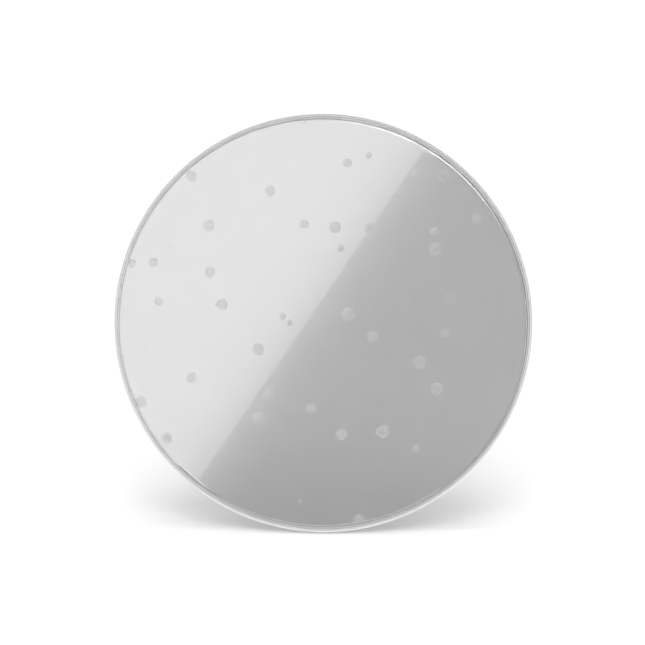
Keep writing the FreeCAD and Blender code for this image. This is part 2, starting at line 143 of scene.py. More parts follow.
# ---------------------------------------------------- the sheet laid out flat
# The crown and the bend, laid out flat as the sheet is before it is formed, and
# divided so that every air pocket has its own outline.
def lay_out():
    pts, edges, loops = [], [], []

    def ring(rho, count, first=0.5):
        start = len(pts)
        for i in range(count):
            a = (i + first) * 2 * math.pi / count
            pts.append((rho * math.cos(a), rho * math.sin(a)))
        return start

    def clear(x, z, gap):
        for k, (cx, cz, r) in enumerate(POCKETS):
            dx, dz = x - cx, z - cz
            dist = math.hypot(dx, dz)
            if dist < 1.25 * r + 2:
                edge = pocket_edge(k, math.atan2(dz, dx))
                if k in RIM:
                    if abs(dist - edge) < gap:
                        return False
                elif dist < 1.3 * edge + gap:
                    return False
        return True

    # outer ring and the rings of the bend
    last = ring(BEND_END, SEG)
    edges.extend((last + i, last + (i + 1) % SEG) for i in range(SEG))
    steps = [0.0, 0.15] + [0.15 + 0.395 * i for i in range(1, 13)]
    rows = [FLAT_R + s for s in steps if FLAT_R + s < BEND_END - 0.2] + [FLAT_R - 0.15, FLAT_R - 0.6, FLAT_R - 2.2]
    for rho in rows:
        for i in range(SEG):
            a = (i + 0.5) * 2 * math.pi / SEG
            x, z = rho * math.cos(a), rho * math.sin(a)
            if clear(x, z, 0.2):
                pts.append((x, z))
    # a coarse grid over the flat crown
    step = 9.0
    n = int(FLAT_R / step) + 2
    for j in range(-n * 2, n * 2 + 1):
        z = j * step * math.sqrt(3) / 2
        for i in range(-n, n + 1):
            x = (i + 0.5 * (j % 2)) * step
            if math.hypot(x, z) < FLAT_R - 5.0 and clear(x, z, 1.0):
                pts.append((x, z))
    # pockets
    for k, (cx, cz, r) in enumerate(POCKETS):
        count = 14 if r < 2 else 28
        share = [1.0] if k in RIM else [1.18, 1.0, 0.78, 0.52, 0.26]
        for q in share:
            start = len(pts)
            for i in range(count):
                a = (i + 0.5 * (round(q * 100) % 2)) * 2 * math.pi / count
                e = pocket_edge(k, a) * q
                pts.append((cx + e * math.cos(a), cz + e * math.sin(a)))
            if q == 1.0:
                edges.extend((start + i, start + (i + 1) % count) for i in range(count))
                loops.append((k, start, count))
        if k not in RIM:
            pts.append((cx, cz))
    out = delaunay_2d_cdt([Vector(p) for p in pts], edges, [], 0, 1e-5)
    verts, tris, made_from = [tuple(v) for v in out[0]], [list(f) for f in out[2]], out[3]
    where = {}
    for new, olds in enumerate(made_from):
        for old in olds:
            where[old] = new
    rims = [[where[start + i] for i in range(count)] for _, start, count in loops]
    return verts, tris, rims


SHEET, TRIS, RIMS = lay_out()
LIFT = [bulge(x, z) for x, z in SHEET]
INSIDE = []
for t in TRIS:
    mx, mz = (sum(SHEET[v][i] for v in t) / 3 for i in (0, 1))
    INSIDE.append(any(
        math.hypot(mx - cx, mz - cz) < pocket_edge(k, math.atan2(mz - cz, mx - cx))
        for k, (cx, cz, r) in enumerate(POCKETS)
        if abs(mx - cx) < 1.3 * r and abs(mz - cz) < 1.3 * r
    ))


# --------------------------------------------------------------- mesh builders
class Shell:
    """Collects faces, and makes one closed mesh of them."""

    def __init__(self):
        self.verts, self.faces = [], []

    def add(self, points):
        start = len(self.verts)
        self.verts.extend(points)
        return start

    def sheet(self, d, lift=0.0, holes=False):
        """The crown and bend at offset d."""
        start = self.add([
            film_point(math.hypot(x, z), math.atan2(z, x), d + lift * h)
            for (x, z), h in zip(SHEET, LIFT)
        ])
        self.faces.extend([start + v for v in t] for t, cut in zip(TRIS, INSIDE) if not (holes and cut))
        return start

    def lathe(self, profile):
        """Rings through a profile of (r, y)."""
        start = self.add([turn(r, y, a) for r, y in profile for a in RING])
        for j in range(len(profile) - 1):
            for i in range(SEG):
                k = (i + 1) % SEG
                a, b = start + j * SEG, start + (j + 1) * SEG
                self.faces.append([a + i, a + k, b + k, b + i])
        return start

    def pierced(self, r, y0, y1, rad):
        """A cylindrical band with the ring of keying holes through it. Returns each hole's rim."""
        rims = []
        per = SEG // HOLES
        half = math.pi / HOLES
        for h in range(HOLES):
            mid = h * 2 * math.pi / HOLES
            box = []
            for i in range(per):
                box.append((-half + 2 * half * i / per, y0))
            for i in range(per):
                box.append((half, y0 + (y1 - y0) * i / per))
            for i in range(per):
                box.append((half - 2 * half * i / per, y1))
            for i in range(per):
                box.append((-half, y1 - (y1 - y0) * i / per))
            n = len(box)
            outer = self.add([turn(r, y, mid + a) for a, y in box])
            inner = self.add([
                turn(
                    r,
                    HOLE_Y + rad * math.sin(math.radians(-135 + 360 * i / n)),
                    mid + rad * math.cos(math.radians(-135 + 360 * i / n)) / TAIL_R,
                )
                for i in range(n)
            ])
            for i in range(n):
                k = (i + 1) % n
                self.faces.append([outer + i, outer + k, inner + k, inner + i])
            rims.append([inner + i for i in range(n)])
        return rims

    def bridge(self, one, two):
        for i in range(len(one)):
            k = (i + 1) % len(one)
            self.faces.append([one[i], one[k], two[k], two[i]])

    def build(self, name, sharp=35):
        mesh = bpy.data.meshes.new(name)
        mesh.from_pydata(self.verts, [], self.faces)
        bm = bmesh.new()
        bm.from_mesh(mesh)
        bmesh.ops.remove_doubles(bm, verts=bm.verts, dist=1.5e-6)
        loose = [v for v in bm.verts if not v.link_faces]
        bmesh.ops.delete(bm, geom=loose, context="VERTS")
        bmesh.ops.recalc_face_normals(bm, faces=bm.faces)
        for f in bm.faces:
            f.smooth = True
        open_edges = sum(1 for e in bm.edges if len(e.link_faces) != 2)
        bm.to_mesh(mesh)
        bm.free()
        mesh.set_sharp_from_angle(angle=math.radians(sharp))
        obj = bpy.data.objects.new(name, mesh)
        bpy.context.scene.collection.objects.link(obj)
        print(f"{name}: {len(mesh.vertices)} vertices, {len(mesh.polygons)} faces, {open_edges} open edges")
        return obj


def collar_profile(d, upto=COLLAR_LEN, start=0.0, n=6):
    out = []
    for i in range(n + 1):
        t = start + (upto - start) * i / n
        r = FLAT_R + (BEND_R + d) * math.sin(SLOPE) + t * math.cos(SLOPE)
        y = BEND_Y - (BEND_R + d) * math.cos(SLOPE) + t * math.sin(SLOPE)
        out.append((r, y))
    return out


def foot_profile(d):
    """From the collar's root over the ledge and down into the channel."""
    out = []
    for i in range(1, 8):
        a = math.radians(176 - 86 * i / 7)
        out.append((ROOT_R + (ROOT_RAD - d) * math.cos(a), ROOT_Y + (ROOT_RAD - d) * math.sin(a)))
    out.append((ROOT_R + 0.45, ROOT_Y + ROOT_RAD - d))
    for i in range(8):
        a = math.radians(-90 + 90 * i / 7)
        out.append((TUCK_R + (TUCK_RAD + d) * math.cos(a), TUCK_Y + (TUCK_RAD + d) * math.sin(a)))
    return out


def ply(name, back, front, lift_back, lift_front):
    """One sheet of film: crown, collar, ledge and the tail with its keying holes."""
    s = Shell()
    rims = []
    for d, lift in ((back, lift_back), (front, lift_front)):
        s.sheet(d, lift)
        s.lathe(collar_profile(d) + foot_profile(d))
        rims.append(s.pierced(TAIL_R + d, TUCK_Y, TAIL_END, HOLE_RAD))
    for one, two in zip(*rims):
        s.bridge(one, two)
    s.lathe([(TAIL_R + back, TAIL_END), (TAIL_R + front, TAIL_END)])
    return s.build(name)


def oil(name, back, front):
    s = Shell()
    starts = []
    ends = []
    for d in (back, front):
        starts.append(s.sheet(d, 0.0, holes=True))
        p = collar_profile(d, OIL_END)
        s.lathe(p)
        ends.append(p[-1])
    for rim in RIMS:
        s.bridge([starts[0] + v for v in rim], [starts[1] + v for v in rim])
    s.lathe(ends)
    return s.build(name)


def seal(name, back, front):
    s = Shell()
    rims, heads = [], []
    for d in (back, front):
        p = collar_profile(d, COLLAR_LEN, OIL_END + 0.01, 2)
        heads.append(p[0])
        s.lathe(p + foot_profile(d))
        rims.append(s.pierced(TAIL_R + d, TUCK_Y, TAIL_END, HOLE_RAD))
    for one, two in zip(*rims):
        s.bridge(one, two)
    s.lathe(heads)
    s.lathe([(TAIL_R + back, TAIL_END), (TAIL_R + front, TAIL_END)])
    return s.build(name)


def pockets(name, back, front):
    """The trapped air: one thin lens in each hole of the oil."""
    s = Shell()
    for k, (cx, cz, r) in enumerate(POCKETS):
        count = 16 if r < 2 else 40
        qs = [0.12, 0.3, 0.48, 0.64, 0.78, 0.9, 0.985]
        faces_at = []
        for d, lift in ((back + 0.012, -LIFT_BACK), (front - 0.012, LIFT_TOP)):
            rows = []
            for q in qs:
                row = []
                for i in range(count):
                    a = i * 2 * math.pi / count
                    e = pocket_edge(k, a) * q
                    x, z = cx + e * math.cos(a), cz + e * math.sin(a)
                    row.append(film_point(math.hypot(x, z), math.atan2(z, x), d + lift * bulge(x, z)))
                rows.append(s.add(row))
            for one, two in zip(rows, rows[1:]):
                for i in range(count):
                    j = (i + 1) % count
                    s.faces.append([one + i, one + j, two + j, two + i])
            mid = s.add([film_point(math.hypot(cx, cz), math.atan2(cz, cx), d + lift * bulge(cx, cz))])
            for i in range(count):
                s.faces.append([mid, rows[0] + i, rows[0] + (i + 1) % count])
            faces_at.append(rows[-1])
        s.bridge([faces_at[0] + i for i in range(count)], [faces_at[1] + i for i in range(count)])
    return s.build(name, 50)


def casting(name):
    """The resin that fills the channel round the film's tail, and keys through its holes."""
    g = 0.01
    s = Shell()
    d = 0.46 + g
    meet = math.asin((8.72 - TUCK_Y) / (TUCK_RAD + d))
    film_side = []
    for i in range(6):
        a = meet * (1 - i / 5)
        film_side.append((TUCK_R + (TUCK_RAD + d) * math.cos(a), TUCK_Y + (TUCK_RAD + d) * math.sin(a)))
    r0, r1 = film_side[0][0], 184.3 - g
    front = []
    for i in range(9):
        u = i / 8
        sag = 0.12 * (1 - (2 * u - 1) ** 2) - 0.08 * u * u
        front.append((r1 + (r0 - r1) * u, 8.66 + (8.72 - 8.66) * u + sag + 0.08 * u * u))
    s.lathe(front + film_side[1:])
    rim_out = s.pierced(TAIL_R + d, TUCK_Y, TAIL_END + g, HOLE_RAD - g)
    s.lathe([(TAIL_R + d, TAIL_END + g), (TAIL_R - g, TAIL_END + g)])
    rim_in = s.pierced(TAIL_R - g, TUCK_Y, TAIL_END + g, HOLE_RAD - g)
    for one, two in zip(rim_out, rim_in):
        s.bridge(one, two)
    inner = []
    for i in range(6):
        a = math.radians(-90 * i / 5)
        inner.append((TUCK_R + (TUCK_RAD - g) * math.cos(a), TUCK_Y + (TUCK_RAD - g) * math.sin(a)))
    inner.append((181.8 + g, 8.8 + g))
    inner.append((181.8 + g, 16.1))
    for i in range(1, 5):
        a = math.radians(180 - 90 * i / 4)
        inner.append((182.2 + (0.4 - g) * math.cos(a), 16.1 + (0.4 - g) * math.sin(a)))
    for i in range(0, 5):
        a = math.radians(90 - 90 * i / 4)
        inner.append((183.9 + (0.4 - g) * math.cos(a), 16.1 + (0.4 - g) * math.sin(a)))
    inner.append((184.3 - g, 12.0))
    inner.append(front[0])
    s.lathe(inner)
    return s.build(name)


def channel(name):
    """The rolled aluminium hoop: a strip bent to a channel, rolled to a ring and butted at the bottom."""
    ri, ro, t, yb, yl, yi = 181.1, 185.0, 0.7, 17.2, 8.2, 8.8
    co, ci, lr, er = 1.1, 0.4, 0.2, 0.09

    def arc(c, rad, a0, a1, n):
        return [
            (c[0] + rad * math.cos(math.radians(a0 + (a1 - a0) * i / n)), c[1] + rad * math.sin(math.radians(a0 + (a1 - a0) * i / n)))
            for i in range(n + 1)
        ]

    prof = []
    prof += arc((ri + er, yi + er), er, 270, 180, 3)
    prof += [(ri, 10.2), (ri, 12.5), (ri, 14.8)]
    prof += arc((ri + co, yb - co), co, 180, 90, 7)
    prof += [(183.05, yb)]
    prof += arc((ro - co, yb - co), co, 90, 0, 7)
    prof += [(ro, 14.6), (ro, 12.2), (ro, 10.0)]
    prof += arc((ro - lr, yl + lr), lr, 0, -90, 5)
    prof += arc((ro - t + lr, yl + lr), lr, 270, 180, 5)
    prof += [(ro - t, 10.5), (ro - t, 13.5)]
    prof += arc((ro - t - ci, yb - t - ci), ci, 0, 90, 4)
    prof += arc((ri + t + ci, yb - t - ci), ci, 90, 180, 4)
    prof += [(ri + t, 13.5), (ri + t, 10.5)]
    prof += arc((ri + t - er, yi + er), er, 0, -90, 3)
    clean = [prof[0]]
    for p in prof[1:]:
        if math.hypot(p[0] - clean[-1][0], p[1] - clean[-1][1]) > 1e-4:
            clean.append(p)
    prof = clean
    gap = 0.125 / 183.0
    a0, a1 = -math.pi / 2 + gap, 1.5 * math.pi - gap
    s = Shell()
    n = len(prof)
    rows = []
    for i in range(361):
        a = a0 + (a1 - a0) * i / 360
        rows.append(s.add([turn(r, y, a) for r, y in prof]))
    for one, two in zip(rows, rows[1:]):
        for j in range(n):
            k = (j + 1) % n
            s.faces.append([one + j, one + k, two + k, two + j])
    s.faces.append([rows[0] + j for j in range(n)])
    s.faces.append([rows[-1] + j for j in reversed(range(n))])
    return s.build(name, 40)


def mark_sheet(obj, d):
    """Marks where a sheet has lost its gloss: over the air pockets, and at its foot, which is keyed for the casting.
    The ledge and the tail beyond the root are frosted as well."""
    matt = obj.data.attributes.new("matt", "FLOAT", "FACE")
    frost = obj.data.attributes.new("frost", "FLOAT", "FACE")
    for f, poly in enumerate(obj.data.polygons):
        x, y, z = (c / MM for c in poly.center)
        r = math.hypot(x, z)
        if y > 5.5:
            matt.data[f].value = 1.7
            if r > ROOT_R + 0.15:
                frost.data[f].value = 1.2 if r < TUCK_R + 0.2 else 0.45
        if y > 2.5 or r < 1:
            continue
        if r > FLAT_R:
            rho = FLAT_R + math.asin(min(1.0, (r - FLAT_R) / (BEND_R + d))) * (BEND_R + MID)
            x, z = x * rho / r, z * rho / r
        for k, (cx, cz, rad) in enumerate(POCKETS):
            if abs(x - cx) < 1.3 * rad and abs(z - cz) < 1.3 * rad:
                if math.hypot(x - cx, z - cz) < pocket_edge(k, math.atan2(z - cz, x - cx)):
                    matt.data[f].value = THIN.get(k, 1.0 if rad > 1.5 else 1.75 if k == 17 else 1.5)


top = ply("top_ply_film", 0.28, 0.46, LIFT_TOP, LIFT_TOP)
bottom = ply("bottom_ply_film", 0.0, 0.18, -LIFT_BACK, -LIFT_BACK)
oil_layer = oil("oil_layer", 0.20, 0.26)
seal_band = seal("edge_seal_band", 0.195, 0.265)
air = pockets("air_pockets", 0.18, 0.28)
mark_sheet(top, 0.37)
mark_sheet(bottom, 0.09)
air.data.attributes.new("fill", "FLOAT", "FACE")
# each pocket's painted lift: painted light that makes some pockets paler where the shadowed floor behind them would
# darken them
air.data.attributes.new("painted_lift", "FLOAT", "FACE")
for f, poly in enumerate(air.data.polygons):
    x, _, z = (c / MM for c in poly.center)
    k = min(range(len(POCKETS)), key=lambda i: math.hypot(x - POCKETS[i][0], z - POCKETS[i][1]) / POCKETS[i][2])
    air.data.attributes["fill"].data[f].value = THIN.get(k, 1.0)
    air.data.attributes["painted_lift"].data[f].value = PAINTED_LIFT.get(k, 0.0)
resin = casting("hoop_casting")
hoop = channel("hoop_ring")


# ------------------------------------------------------------------- materials
class Nodes:
    def __init__(self, tree):
        self.tree = tree
        tree.nodes.clear()

    def add(self, kind, **values):
        n = self.tree.nodes.new(kind)
        for key, value in values.items():
            if key in n.inputs:
                if isinstance(value, bpy.types.NodeSocket):
                    self.tree.links.new(value, n.inputs[key])
                else:
                    n.inputs[key].default_value = value
            else:
                setattr(n, key, value)
        return n

    def link(self, a, b):
        self.tree.links.new(a, b)

    def math(self, op, a, b=None, c=None, clamp=False):
        n = self.tree.nodes.new("ShaderNodeMath")
        n.operation = op
        n.use_clamp = clamp
        for i, v in enumerate((a, b, c)):
            if v is None:
                continue
            if isinstance(v, bpy.types.NodeSocket):
                self.tree.links.new(v, n.inputs[i])
            else:
                n.inputs[i].default_value = v
        return n.outputs[0]

    def noise(self, vector, scale, detail=3.0, rough=0.5, distortion=0.0):
        n = self.tree.nodes.new("ShaderNodeTexNoise")
        n.noise_dimensions = "3D"
        self.tree.links.new(vector, n.inputs["Vector"])
        n.inputs["Scale"].default_value = scale
        n.inputs["Detail"].default_value = detail
        n.inputs["Roughness"].default_value = rough
        n.inputs["Distortion"].default_value = distortion
        return n.outputs["Fac"]

    def span(self, value, a0, a1, b0, b1):
        n = self.tree.nodes.new("ShaderNodeMapRange")
        self.tree.links.new(value, n.inputs["Value"])
        for key, v in (("From Min", a0), ("From Max", a1), ("To Min", b0), ("To Max", b1)):
            n.inputs[key].default_value = v
        return n.outputs["Result"]

    def ramp(self, value, stops):
        n = self.tree.nodes.new("ShaderNodeValToRGB")
        self.tree.links.new(value, n.inputs["Fac"])
        el = n.color_ramp.elements
        while len(el) < len(stops):
            el.new(0.5)
        for e, (pos, col) in zip(el, stops):
            e.position = pos
            e.color = (*col, 1.0)
        return n.outputs["Color"]

    def mix(self, fac, a, b):
        n = self.tree.nodes.new("ShaderNodeMixShader")
        if isinstance(fac, bpy.types.NodeSocket):
            self.tree.links.new(fac, n.inputs["Fac"])
        else:
            n.inputs["Fac"].default_value = fac
        self.tree.links.new(a, n.inputs[1])
        self.tree.links.new(b, n.inputs[2])
        return n.outputs[0]

    def out(self, shader):
        n = self.tree.nodes.new("ShaderNodeOutputMaterial")
        self.tree.links.new(shader, n.inputs["Surface"])


def material(name):
    m = bpy.data.materials.new(name)
    m.use_nodes = True
    return m, Nodes(m.node_tree)


def put(obj, mat):
    obj.data.materials.clear()
    obj.data.materials.append(mat)


def clear_film(name, pass_col, f0, seed):
    """Clear polyester: passes most of the light, mirrors the rest like any gloss sheet, with a breath of haze.
    Over an air pocket the sheet is finely puckered and mirrors less; its foot is keyed, so that is dull too."""
    m, n = material(name)
    at = n.add("ShaderNodeTexCoord").outputs["Object"]
    shift = n.add("ShaderNodeVectorMath", operation="ADD")
    n.link(at, shift.inputs[0])
    shift.inputs[1].default_value = (seed, seed * 0.7, -seed)
    at = shift.outputs[0]
    cloud = n.noise(at, 22.0, 4.0, 0.55)
    fine = n.noise(at, 900.0, 3.0, 0.6)
    haze = n.math("MULTIPLY", n.span(cloud, 0.3, 0.7, 0.6, 1.3), n.span(fine, 0.35, 0.75, 0.005, 0.010))
    matt = n.add("ShaderNodeAttribute", attribute_name="matt").outputs["Fac"]
    frost = n.add("ShaderNodeAttribute", attribute_name="frost").outputs["Fac"]
    haze = n.math("ADD", haze, n.math("MULTIPLY", frost, n.span(fine, 0.3, 0.7, 0.40, 0.50)))
    rough = n.math("ADD", n.span(fine, 0.3, 0.7, 0.006, 0.016), n.math("MULTIPLY", matt, 0.14))
    facing = n.add("ShaderNodeLayerWeight", Blend=0.5).outputs["Facing"]
    gloss = n.math("MULTIPLY_ADD", n.math("POWER", facing, 5.0), 1 - f0, f0, clamp=True)
    pucker = n.span(n.noise(at, 420.0, 2.5, 0.55, 0.6), 0.3, 0.7, -0.20, -0.56)
    gloss = n.math("MULTIPLY", gloss, n.math("MULTIPLY_ADD", matt, pucker, 1.0))
    clear = n.add("ShaderNodeBsdfTransparent", Color=(pass_col, pass_col, pass_col, 1)).outputs[0]
    veil = n.add("ShaderNodeBsdfDiffuse", Color=(0.82, 0.82, 0.82, 1)).outputs[0]
    shine = n.add("ShaderNodeBsdfAnisotropic", Color=(1, 1, 1, 1), Roughness=rough).outputs[0]
    n.out(n.mix(gloss, n.mix(haze, clear, veil), shine))
    return m


def clear_oil(name, pass_col):
    m, n = material(name)
    at = n.add("ShaderNodeTexCoord").outputs["Object"]
    drift = n.noise(at, 14.0, 5.0, 0.5, 0.8)
    haze = n.span(drift, 0.3, 0.7, 0.201, 0.211)
    clear = n.add("ShaderNodeBsdfTransparent", Color=(pass_col, pass_col, pass_col, 1)).outputs[0]
    veil = n.add("ShaderNodeBsdfDiffuse", Color=(0.80, 0.80, 0.80, 1)).outputs[0]
    n.out(n.mix(haze, clear, veil))
    return m


def trapped_air(name):
    """Air between the sheets: a mottled patch of half-wetted film. A thin pocket still has oil in it."""
    m, n = material(name)
    at = n.add("ShaderNodeTexCoord").outputs["Object"]
    blot = n.noise(at, 420.0, 2.5, 0.55, 0.6)
    grain = n.noise(at, 1500.0, 2.0, 0.5)
    tone = n.math("ADD", n.math("MULTIPLY", blot, 0.8), n.math("MULTIPLY", grain, 0.2))
    # painted lift: some pockets, mostly low on the head, are painted paler to make up for the shade of the floor seen
    # through them
    tone = n.math("ADD", tone, n.add("ShaderNodeAttribute", attribute_name="painted_lift").outputs["Fac"])
    colour = n.ramp(tone, [(0.30, (0.355, 0.355, 0.355)), (0.48, (0.41, 0.41, 0.41)), (0.70, (0.475, 0.475, 0.475)), (1.0, (0.68, 0.68, 0.68))])
    clear = n.add("ShaderNodeBsdfTransparent", Color=(0.86, 0.86, 0.86, 1)).outputs[0]
    body = n.add("ShaderNodeBsdfDiffuse", Color=colour).outputs[0]
    dry = n.mix(n.span(blot, 0.3, 0.7, 0.45, 0.52), clear, body)
    dark = n.add("ShaderNodeBsdfTransparent", Color=(0.571, 0.571, 0.571, 1)).outputs[0]
    veil = n.add("ShaderNodeBsdfDiffuse", Color=(0.80, 0.80, 0.80, 1)).outputs[0]
    wet = n.mix(n.span(grain, 0.3, 0.7, 0.201, 0.211), dark, veil)
    n.out(n.mix(n.add("ShaderNodeAttribute", attribute_name="fill").outputs["Fac"], wet, dry))
    return m


def adhesive(name):
    m, n = material(name)
    at = n.add("ShaderNodeTexCoord").outputs["Object"]
    run = n.noise(at, 260.0, 3.0, 0.6)
    haze = n.span(run, 0.3, 0.7, 0.44, 0.56)
    clear = n.add("ShaderNodeBsdfTransparent", Color=(0.80, 0.80, 0.80, 1)).outputs[0]
    # The seal's dark grey is partly its own tint and partly painted shade, which darkens the collar's root where it
    # meets the hoop.
    veil = n.add("ShaderNodeBsdfDiffuse", Color=(0.34, 0.34, 0.336, 1)).outputs[0]
    n.out(n.mix(haze, clear, veil))
    return m


def polar(n):
    """Radius, depth and angle of a point round the head's axis."""
    at = n.add("ShaderNodeTexCoord").outputs["Object"]
    sep = n.add("ShaderNodeSeparateXYZ")
    n.link(at, sep.inputs[0])
    x, y, z = sep.outputs
    r = n.math("SQRT", n.math("ADD", n.math("MULTIPLY", x, x), n.math("MULTIPLY", z, z)))
    return at, r, y, n.math("ARCTAN2", z, x)


def cast_resin(name):
    m, n = material(name)
    at, r, y, a = polar(n)
    cloud = n.noise(at, 120.0, 4.0, 0.6)
    speck = n.noise(at, 1400.0, 2.0, 0.5)
    tone = n.math("ADD", n.math("MULTIPLY", cloud, 0.75), n.math("MULTIPLY", speck, 0.25))
    colour = n.ramp(tone, [(0.30, (0.66, 0.66, 0.655)), (0.52, (0.71, 0.71, 0.705)), (0.72, (0.76, 0.76, 0.755))])
    rough = n.span(cloud, 0.3, 0.7, 0.16, 0.30)
    bump = n.add("ShaderNodeBump", Strength=0.25, Distance=0.00004, Height=n.noise(at, 500.0, 3.0, 0.6))
    p = n.add("ShaderNodeBsdfPrincipled", Roughness=rough, Normal=bump.outputs[0])
    n.link(colour, p.inputs["Base Color"])
    p.inputs["IOR"].default_value = 1.52
    n.out(p.outputs[0])
    return m


def rolled_aluminium(name):
    """Mill-finish strip: fine rolling lines run round the hoop, the lip is rubbed brighter."""
    m, n = material(name)
    at, r, y, a = polar(n)
    along = n.add("ShaderNodeCombineXYZ", X=n.math("MULTIPLY", r, 9000.0), Y=n.math("MULTIPLY", y, 9000.0), Z=n.math("MULTIPLY", a, 7.0))
    lines = n.noise(along.outputs[0], 1.0, 4.0, 0.6)
    broad = n.add("ShaderNodeCombineXYZ", X=n.math("MULTIPLY", r, 1800.0), Y=n.math("MULTIPLY", y, 1800.0), Z=n.math("MULTIPLY", a, 3.0))
    bands = n.noise(broad.outputs[0], 1.0, 3.0, 0.5)
    scuff = n.noise(at, 340.0, 4.0, 0.65)
    edge = n.span(y, 0.0090, 0.0083, 0.0, 1.0)
    tone = n.math("ADD", n.math("MULTIPLY", lines, 0.55), n.math("MULTIPLY", bands, 0.45))
    colour = n.ramp(n.math("MULTIPLY_ADD", edge, 0.12, tone), [(0.25, (0.80, 0.80, 0.805)), (0.50, (0.88, 0.88, 0.885)), (0.75, (0.94, 0.94, 0.942))])
    rough = n.math("ADD", n.span(lines, 0.3, 0.7, 0.24, 0.38), n.span(scuff, 0.55, 0.75, 0.0, 0.10))
    bump = n.add("ShaderNodeBump", Strength=0.35, Distance=0.00002, Height=lines)
    p = n.add("ShaderNodeBsdfPrincipled", Metallic=1.0, Roughness=rough, Normal=bump.outputs[0])
    n.link(colour, p.inputs["Base Color"])
    n.out(p.outputs[0])
    return m


put(top, clear_film("clear_film_top", 0.97, 0.07, 3.1))
put(bottom, clear_film("clear_film_bottom", 0.97, 0.07, 7.7))
put(oil_layer, clear_oil("clear_oil", 0.571))
put(air, trapped_air("trapped_air"))
put(seal_band, adhesive("seal_adhesive"))
put(resin, cast_resin("cast_resin"))
put(hoop, rolled_aluminium("rolled_aluminium"))

for piece, node, slot in (
    (top, "top_ply", "clear_film"),
    (bottom, "bottom_ply", "clear_film"),
    (oil_layer, "oil_film", "clear_oil"),
    (seal_band, "edge_seal", "seal_adhesive"),
    (resin, "hoop_resin", "cast_resin"),
    (hoop, "hoop_channel", "rolled_aluminium"),
):
    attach(piece, "root")
    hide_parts(node)
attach(air, "root")

# ----------------------------------------------------------------------- stage
def polar_flat(n):
    """Distance from the head along the floor."""
    sep = n.add("ShaderNodeSeparateXYZ")
    n.link(n.add("ShaderNodeTexCoord").outputs["Object"], sep.inputs[0])
    x, y, _ = sep.outputs
    return x, n.math("SQRT", n.math("ADD", n.math("MULTIPLY", x, x), n.math("MULTIPLY", y, y))), y, None


scene = bpy.context.scene
scene.view_settings.view_transform = "Standard"
scene.view_settings.look = "None"
scene.cycles.transparent_max_bounces = 48

floor_mesh = bpy.data.meshes.new("floor")
floor_mesh.from_pydata([(-12, -12, -0.187), (12, -12, -0.187), (12, 12, -0.187), (-12, 12, -0.187)], [], [(0, 1, 2, 3)])
floor = bpy.data.objects.new("floor", floor_mesh)
scene.collection.objects.link(floor)
floor.visible_glossy = False
floor.visible_shadow = False
fm, fn = material("pale_floor")
_, far, _, _ = polar_flat(fn)
fn.out(fn.mix(fn.span(far, 2.5, 9.0, 0.0, 1.0), fn.add("ShaderNodeBsdfDiffuse", Color=(0.8, 0.8, 0.8, 1)).outputs[0], fn.add("ShaderNodeBsdfTransparent", Color=(1, 1, 1, 1)).outputs[0]))
put(floor, fm)

# world: white behind the head, an even tent for light, a brighter front for reflections
world = bpy.data.worlds.new("tent")
scene.world = world
world.use_nodes = True
w = Nodes(world.node_tree)
path = w.add("ShaderNodeLightPath")
sep = w.add("ShaderNodeSeparateXYZ")
w.link(w.add("ShaderNodeTexCoord").outputs["Generated"], sep.inputs[0])
front = w.math("MULTIPLY", w.span(sep.outputs["Y"], 0.95, 0.15, 0.70, 0.90), w.span(sep.outputs["Y"], 0.985, 0.88, 0.15, 1.0))
backdrop = w.add("ShaderNodeBackground", Color=(1, 1, 1, 1), Strength=1.11).outputs[0]
mirrored = w.add("ShaderNodeBackground", Color=(1, 1, 1, 1), Strength=front).outputs[0]
ambient = w.add("ShaderNodeBackground", Color=(1, 1, 1, 1), Strength=0.48).outputs[0]
shown = w.mix(path.outputs["Is Camera Ray"], w.mix(path.outputs["Is Glossy Ray"], ambient, mirrored), backdrop)
end = w.add("ShaderNodeOutputWorld")
w.link(shown, end.inputs["Surface"])

# broad soft sources in front and above: one for the head, and four that shade the floor
floor_only = bpy.data.collections.new("floor_only")
floor_only.objects.link(floor)
head_only = bpy.data.collections.new("head_only")
for o in (top, bottom, oil_layer, seal_band, air, resin, hoop):
    head_only.objects.link(o)


def soft_sun(name, energy, spread, elevation, azimuth, receivers):
    light = bpy.data.lights.new(name, "SUN")
    light.energy = energy
    light.angle = math.radians(spread)
    o = bpy.data.objects.new(name, light)
    scene.collection.objects.link(o)
    el, az = math.radians(elevation), math.radians(azimuth)
    to_light = Vector((math.sin(az) * math.cos(el), -math.cos(az) * math.cos(el), math.sin(el)))
    o.rotation_euler = to_light.to_track_quat("Z", "Y").to_euler()
    o.visible_glossy = False
    o.light_linking.receiver_collection = receivers


soft_sun("key", 1.3, 30, 40, 0, head_only)
soft_sun("floor_low", 3.75, 23.6, 19.8, 2.1, floor_only)
soft_sun("floor_high", 1.27, 28.2, 44.4, 2.1, floor_only)
soft_sun("floor_steep", 0.42, 16, 76, 0, floor_only)
soft_sun("floor_over", 0.16, 14, 84, 180, floor_only)

